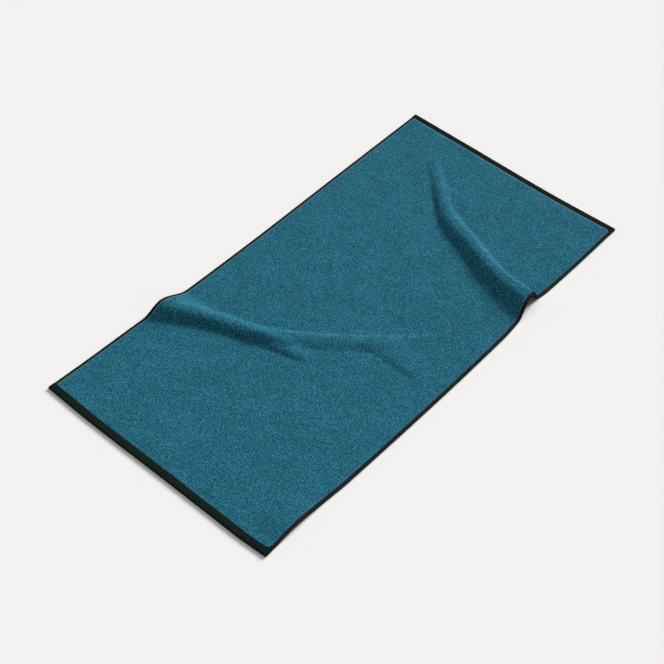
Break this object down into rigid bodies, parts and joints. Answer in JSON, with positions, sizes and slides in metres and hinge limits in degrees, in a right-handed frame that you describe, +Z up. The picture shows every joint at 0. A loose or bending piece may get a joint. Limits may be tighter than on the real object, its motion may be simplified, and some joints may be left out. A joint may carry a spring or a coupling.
{
  "type": "quick dry towel",
  "caption": "Looped terry towel with a folded tape bound over each edge, lying open with two soft wrinkles.",
  "frame": {"origin": "middle of the towel's underside, on the surface it lies on", "axes": "+X across the towel, +Y along it towards the far end, +Z up out of the cloth's upper face"},
  "size_m": [0.5092, 1.0071, 0.0286],
  "materials": {
    "terry_pile": "looped pile, matt",
    "binding_tape": "ribbed woven tape, matt",
    "sewing_thread": "twisted thread, slight sheen"
  },
  "bodies": {
    "root": {"terry_panel": "terry_pile", "near_end_binding": "binding_tape", "far_end_binding": "binding_tape", "left_side_binding": "binding_tape", "right_side_binding": "binding_tape", "near_end_needle_thread": "sewing_thread", "near_end_bobbin_thread": "sewing_thread", "far_end_needle_thread": "sewing_thread", "far_end_bobbin_thread": "sewing_thread", "left_side_needle_thread": "sewing_thread", "left_side_bobbin_thread": "sewing_thread", "right_side_needle_thread": "sewing_thread", "right_side_bobbin_thread": "sewing_thread"}
  },
  "joints": []
}
